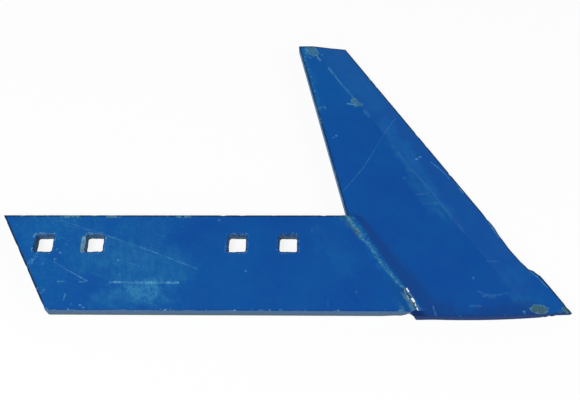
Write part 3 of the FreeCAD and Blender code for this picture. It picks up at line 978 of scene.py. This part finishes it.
def blade_enamel():
    """Blue enamel on the blade: rubbed along the bevel's ridge and chipped at tip and rims."""
    f = Finish("blue_enamel_on_coulter_blade")
    inset = f.attribute("inset")
    upper = f.fade(f.z, 2.4, 3.2)

    patchy = f.clouds(52.0, 3.0, 0.55, 14.0)
    colour = f.coat(ENAMEL_DEEP, ENAMEL_FADED, f.fade(patchy, 0.32, 0.74, 0.0, 0.55))
    colour = f.coat(colour, ENAMEL_FADED, f.fade(f.y, 60.0, 215.0, 0.0, 0.6))
    zones = f.times(f.wear_lines(f.shaken(14.0, 10.0, 2.0), BLADE_ZONES), upper)
    smeared = f.streaks(15.0, 5.0, -57.0, 6.0, 0.7, 3.0)
    haze = f.times(zones, f.fade(smeared, 0.32, 0.68, 0.12, 0.95))
    colour = f.coat(colour, SCUFFED, haze, 0.38)
    fine = f.most(f.fade(f.streaks(20.0, 0.9, -57.0, 3.0, 0.6, 5.0), 0.60, 0.72),
                  f.fade(f.streaks(13.0, 0.9, 8.0, 3.0, 0.6, 19.0), 0.62, 0.74, 0.0, 0.8))
    colour = f.coat(colour, SCUFFED, fine, f.plus(f.times(haze, 0.55), 0.10))
    grit = f.fade(f.clouds(1.6, 4.0, 0.7, 63.0), 0.55, 0.70)
    colour = f.coat(colour, SCUFFED, grit, zones, 0.35)
    colour = f.coat(colour, SCRATCH_PALE, f.flecks(11.0, 0.12, 0.08, 8.0), 0.25)

    # Painted shade: a darker navy band on the blade along the front weld, widening downwards.
    away = f.from_line((JOINT_X, BAR_TOP), (LEAN_COS, LEAN_SIN))
    band = f.fade(f.y, 20.0, -56.0, 17.0, 27.0)
    shade = f.times(f.fade(f.minus(away, band), 4.0, -8.0), f.fade(f.y, 38.0, 14.0))
    colour = f.coat(colour, PAINTED_SHADE_NAVY, shade, 0.9)
    out = f.from_line(BLADE_TOP_FRONT, (EDGE_COS, EDGE_SIN))
    bevel = f.times(f.fade(out, -28.6, -27.4), upper)
    colour = f.coat(colour, tint(4, 90, 172), bevel, f.plus(f.times(zones, 0.30), 0.24))
    # Darker navy in soft patches towards the blade's bottom edge.
    low_patches = f.fade(f.clouds(26.0, 2.0, 0.5, 27.0), 0.40, 0.56, 0.1, 0.8)
    lower = f.times(f.fade(f.y, -44.0, -60.0), f.fade(f.x, 330.0, 312.0))
    colour = f.coat(colour, tint(21, 65, 134), lower, low_patches)
    # Painted shadow: the blade's heel under the bar's end is made dark navy.
    heel = f.times(f.fade(away, 14.0, 6.0), f.fade(f.y, -58.5, -61.5))
    colour = f.coat(colour, tint(17, 38, 88), heel, 0.85)

    nicks = f.most(f.random_nicks(9.0, 0.22, 2.6, 0.42), f.random_nicks(26.0, 0.40, 9.0, 0.40, 7.0))
    colour = f.coat(colour, SCRATCH_PALE, nicks, upper, f.plus(f.times(zones, 0.4), 0.16))
    scratches = f.wear_lines(f.shaken(2.6, 0.35), BLADE_SCRATCHES)
    marks = f.times(scratches, broken_up(f, 0.34, 0.56, 0.4), upper)
    colour = f.coat(colour, SCRATCH_PALE, marks)

    patches = f.times(f.wear_lines(f.shaken(4.2, 2.4, 6.0), BLADE_PATCHES), f.fade(f.z, 1.6, 2.4))
    patches = f.plus(patches, f.fade(f.clouds(2.2, 3.0, 0.65, 36.0), 0.3, 0.7, -0.22, 0.22))
    bare = f.fade(patches, 0.40, 0.62)
    primer = f.coat(PRIMER_GREEN, tint(62, 100, 108), f.fade(f.x, 300.0, 310.0))
    mottled = f.fade(f.clouds(3.0, 4.0, 0.6, 33.0), 0.42, 0.70, 0.0, 0.7)
    primer = f.coat(primer, PRIMER_PALE, mottled, f.fade(f.x, 296.0, 308.0, 1.0, 0.25))
    colour = f.coat(colour, primer, bare, f.fade(f.y, 150.0, 190.0, 0.85, 0.65))
    ragged = f.fade(f.clouds(3.4, 2.0, 0.6, 71.0), 0.36, 0.54, 0.20, 0.85)
    colour = f.coat(colour, PRIMER_PALE, f.span(patches, 0.26, 0.40, 0.58, 0.90), ragged)
    tip = f.times(f.fade(f.x, 338.0, 343.0), f.fade(f.clouds(3.0, 3.0, 0.6, 50.0), 0.35, 0.55))
    colour = f.coat(colour, OLIVE, tip, 0.7)

    fall = (BLADE_THICK - EDGE_THICK) / BEVEL_WIDTH
    depth = f.plus(f.times(f.least(f.times(out, -1.0), BEVEL_WIDTH), fall), EDGE_THICK)
    arris = f.plus(inset, f.most(f.least(f.minus(depth, f.z), f.z), 0.0))
    back = f.from_line(BLADE_ROOT, (BACK_COS, BACK_SIN))
    rim = f.fade(f.plus(arris, f.times(f.clouds(4.0, 3.0, 0.65, 21.0), 1.3)), 2.7, 1.6)
    rim = f.times(rim, f.fade(back, 0.5, 2.0, 0.55, 1.0), f.fade(f.y, -62.0, -57.0, 0.15, 1.0))
    colour = f.coat(colour, EDGE_DARK, rim, 0.92)
    bitten = f.times(f.fade(arris, 2.2, 1.1), f.fade(f.clouds(5.0, 2.0, 0.7, 40.0), 0.60, 0.68))
    colour = f.coat(colour, PRIMER_PALE, bitten, 0.7)
    side = f.fade(inset, 0.6, 0.1)
    burnt = f.clouds(1.4, 3.0, 0.6, 47.0)
    side_blue = f.coat(tint(14, 42, 84), tint(2, 43, 98), f.fade(f.y, -59.0, -61.5))
    colour = f.coat(colour, side_blue, side, f.fade(burnt, 0.35, 0.65, 0.7, 0.95))
    # Painted reflection: the back side face is made pale blue, standing in for the pale floor that it
    # mirrors.
    painted_reflection_back = f.times(side, f.fade(back, 0.8, 0.4), f.fade(f.z, 9.6, 9.0))
    colour = f.coat(colour, tint(96, 132, 164), painted_reflection_back, f.fade(burnt, 0.3, 0.7, 0.95, 0.7))

    metal = f.times(f.most(f.times(bare, 0.5), f.times(bitten, 0.6)), 0.25)
    relief = f.minus(enamel_relief(f, 15.0), f.times(bitten, 0.06))
    rough = enamel_roughness(f, haze, f.most(marks, bare), side)
    return f.surface(colour, rough, metal, f.plus(relief, f.times(side, burnt, 0.5)))


# Painted highlights: white glints on the torn crest low down on the front weld
WELD_GLINTS = (
    rubs(
        (1.0, 1.0, (209.2, -42.0), (210.4, -44.6)),
        (1.1, 1.0, (213.2, -50.8), (214.5, -53.4)),
        (0.55, 0.72, (215.2, -55.4), (216.0, -57.4)),
        (0.6, 0.72, (216.7, -58.8), (218.0, -61.2)),
        (0.5, 0.3, (211.6, -46.6), (212.6, -48.6)),
        (0.7, 0.16, (207.0, -42.8), (208.0, -46.2)),
        (0.8, 0.2, (209.0, -48.4), (210.2, -51.0))))

def weld_enamel():
    """Enamel over the front weld, broken along its crest down to primer, with painted highlights low
    down.
    """
    f = Finish("blue_enamel_over_weld")
    crest = f.attribute("crest_gap")
    shoulder = f.attribute("shoulder_gap")
    colour = f.coat(ENAMEL, ENAMEL_FADED, f.fade(f.clouds(7.0, 4.0, 0.6), 0.35, 0.65))
    lumps = f.clouds(2.2, 4.0, 0.65, 5.0)
    colour = f.coat(colour, ENAMEL_DEEP, f.fade(crest, 0.5, 5.0), 0.5)
    top = f.times(f.fade(crest, -1.5, 0.5), f.fade(shoulder, 0.5, -2.0))
    colour = f.coat(colour, SCUFFED, top, f.fade(lumps, 0.40, 0.66, 0.0, 0.60))
    left_side = f.times(f.fade(crest, 0.5, -0.5), f.fade(f.y, -22.0, -40.0))
    colour = f.coat(colour, tint(16, 78, 144), left_side, 0.85)
    dusty = f.times(f.around(crest, -0.1, 3.0, 0.4), f.fade(lumps, 0.34, 0.6, 0.3, 1.0))
    colour = f.coat(colour, PRIMER_GREEN, dusty, f.fade(f.y, -46.0, -30.0, 0.2, 0.55))
    # Painted shade: the weld's slope down to the blade is darkened.
    slope = f.fade(shoulder, -3.5, 2.5)
    colour = f.coat(colour, tint(16, 68, 139), slope, 0.95)
    green = f.times(f.fade(f.y, 2.0, 12.0), f.span(crest, -4.0, -2.5, 1.2, 3.2),
                    f.fade(f.clouds(4.0, 4.0, 0.65, 9.0), 0.36, 0.54))
    olive = f.fade(f.clouds(3.0, 2.0, 0.6, 17.0), 0.40, 0.58, 0.0, 0.9)
    colour = f.coat(colour, f.coat(tint(66, 112, 128), OLIVE, olive), green, 0.85)
    low_green = f.times(f.fade(f.y, -43.0, -50.0), f.span(crest, -6.4, -4.0, -0.6, 0.8),
                        f.fade(f.clouds(3.0, 4.0, 0.65, 29.0), 0.34, 0.54, 0.15, 0.85))
    colour = f.coat(colour, tint(76, 124, 148), low_green)
    wander = f.fade(f.clouds(3.2, 3.0, 0.65, 52.0), 0.25, 0.75, 1.1, -1.1)
    skips = f.plus(f.clouds(3.2, 3.0, 0.65, 25.0), f.fade(f.y, -8.0, 8.0, -0.01, 0.09))
    line = f.times(f.around(crest, wander, 1.9, 0.5), f.fade(skips, 0.48, 0.59, 0.04, 1.0),
                   f.fade(f.clouds(1.3, 2.0, 0.6, 49.0), 0.36, 0.56, 0.3, 1.0))
    colour = f.coat(colour, tint(84, 148, 184), line, 0.75)
    # Painted shade in the crevice along the crest, low down on the weld.
    crack_shade = f.times(f.around(crest, -0.4, 1.2, 0.5), f.fade(f.y, -39.0, -43.0))
    colour = f.coat(colour, EDGE_DARK, crack_shade, f.fade(lumps, 0.38, 0.52, 0.25, 0.95))
    # Painted highlights: white glints along the torn crest.
    sparkle = f.fade(f.clouds(1.0, 3.0, 0.65, 38.0), 0.38, 0.50, 0.45, 1.0)
    glints = f.times(f.wear_lines(f.shaken(2.2, 0.6, 4.0), WELD_GLINTS), sparkle, 1.2)
    colour = f.coat(colour, GLINT, f.least(glints, 1.0))
    rough = f.most(f.fade(lumps, 0.3, 0.7, 0.30, 0.46), f.times(f.most(line, green, slope), 0.6))
    relief = f.plus(f.times(lumps, 0.30), f.times(f.clouds(0.9, 2.0, 0.5, 80.0), 0.05))
    return f.surface(colour, rough, f.times(line, 0.1), relief, 0.10)


def ground_back_weld():
    """The back weld, ground flush: bright grinding lines with a little paint left in them."""
    f = Finish("ground_back_weld")
    lines = f.streaks(14.0, 0.5, 32.0, 4.0, 0.7, 5.0)
    colour = f.coat(BARE_STEEL, tint(150, 156, 158), f.fade(lines, 0.35, 0.65))
    colour = f.coat(colour, ENAMEL, f.fade(f.clouds(11.0, 4.0, 0.6, 8.0), 0.44, 0.58))
    return f.surface(colour, f.fade(lines, 0.3, 0.7, 0.35, 0.5), 0.5, f.times(lines, 0.08))


# Pieces

sheared_bar([landside_enamel(), punched_wall()])
knife_blade([blade_enamel()])
weld_cap([weld_enamel()])
back_weld_run([ground_back_weld()])


# Studio

def studio_floor():
    """A floor that shows white to the camera and in gloss, and keeps the object's shadow."""
    bpy.ops.mesh.primitive_plane_add(size=14.0, location=(0.1, 0.05, -0.0002))
    floor = bpy.context.object
    floor.name = "studio_floor"
    material = bpy.data.materials.new("pale_floor")
    mixer = Mixer(material)
    plain = mixer.add("ShaderNodeBsdfDiffuse", {"Color": (0.86, 0.86, 0.86, 1.0)})
    dim = mixer.add("ShaderNodeBsdfDiffuse", {"Color": (0.12, 0.12, 0.12, 1.0)})
    glow = mixer.add("ShaderNodeEmission", {"Strength": 0.87})
    shown = mixer.add("ShaderNodeAddShader", {0: dim.outputs[0], 1: glow.outputs[0]})
    rays = mixer.add("ShaderNodeLightPath").outputs
    seen = mixer.most(rays["Is Camera Ray"], rays["Is Glossy Ray"], rays["Is Transmission Ray"])
    mix = mixer.add("ShaderNodeMixShader", {0: seen, 1: plain.outputs[0], 2: shown.outputs[0]})
    mixer.add("ShaderNodeOutputMaterial", {"Surface": mix.outputs[0]})
    floor.data.materials.append(material)


def studio_sky():
    """Even pale light round the horizon and a dimmer ceiling."""
    world = bpy.data.worlds.new("studio_sky")
    bpy.context.scene.world = world
    mixer = Mixer(world)
    direction = mixer.add("ShaderNodeTexCoord").outputs["Generated"]
    light = mixer.fade(mixer.split(direction)[2], 0.25, 0.70, 1.0, 0.04)
    background = mixer.add("ShaderNodeBackground", {"Strength": light})
    mixer.add("ShaderNodeOutputWorld", {"Surface": background.outputs[0]})


def soft_lamp(name, place, aim, size, power):
    data = bpy.data.lights.new(name, "AREA")
    data.shape = "DISK"
    data.size = size
    data.energy = power
    lamp = bpy.data.objects.new(name, data)
    bpy.context.scene.collection.objects.link(lamp)
    lamp.location = place
    lamp.rotation_euler = (Vector(aim) - Vector(place)).to_track_quat("-Z", "Y").to_euler()


def photo_camera():
    data = bpy.data.cameras.new("photo_camera")
    data.sensor_width = 36.0
    data.lens = 48.554
    camera = bpy.data.objects.new("photo_camera", data)
    bpy.context.scene.collection.objects.link(camera)
    camera.location = (0.13033, -0.27992, 0.63704)
    camera.rotation_euler = [math.radians(turn) for turn in (27.2984, 1.5422, 0.7924)]
    bpy.context.scene.camera = camera


studio_floor()
studio_sky()
soft_lamp("key_lamp", (-0.98, -1.35, 2.43), (0.1, 0.03, 0.0), 1.5, 78.0)
soft_lamp("fill_lamp", (2.2, -0.3, 0.95), (0.1, 0.0, 0.0), 1.2, 16.0)
photo_camera()
bpy.context.scene.view_settings.view_transform = "Standard"
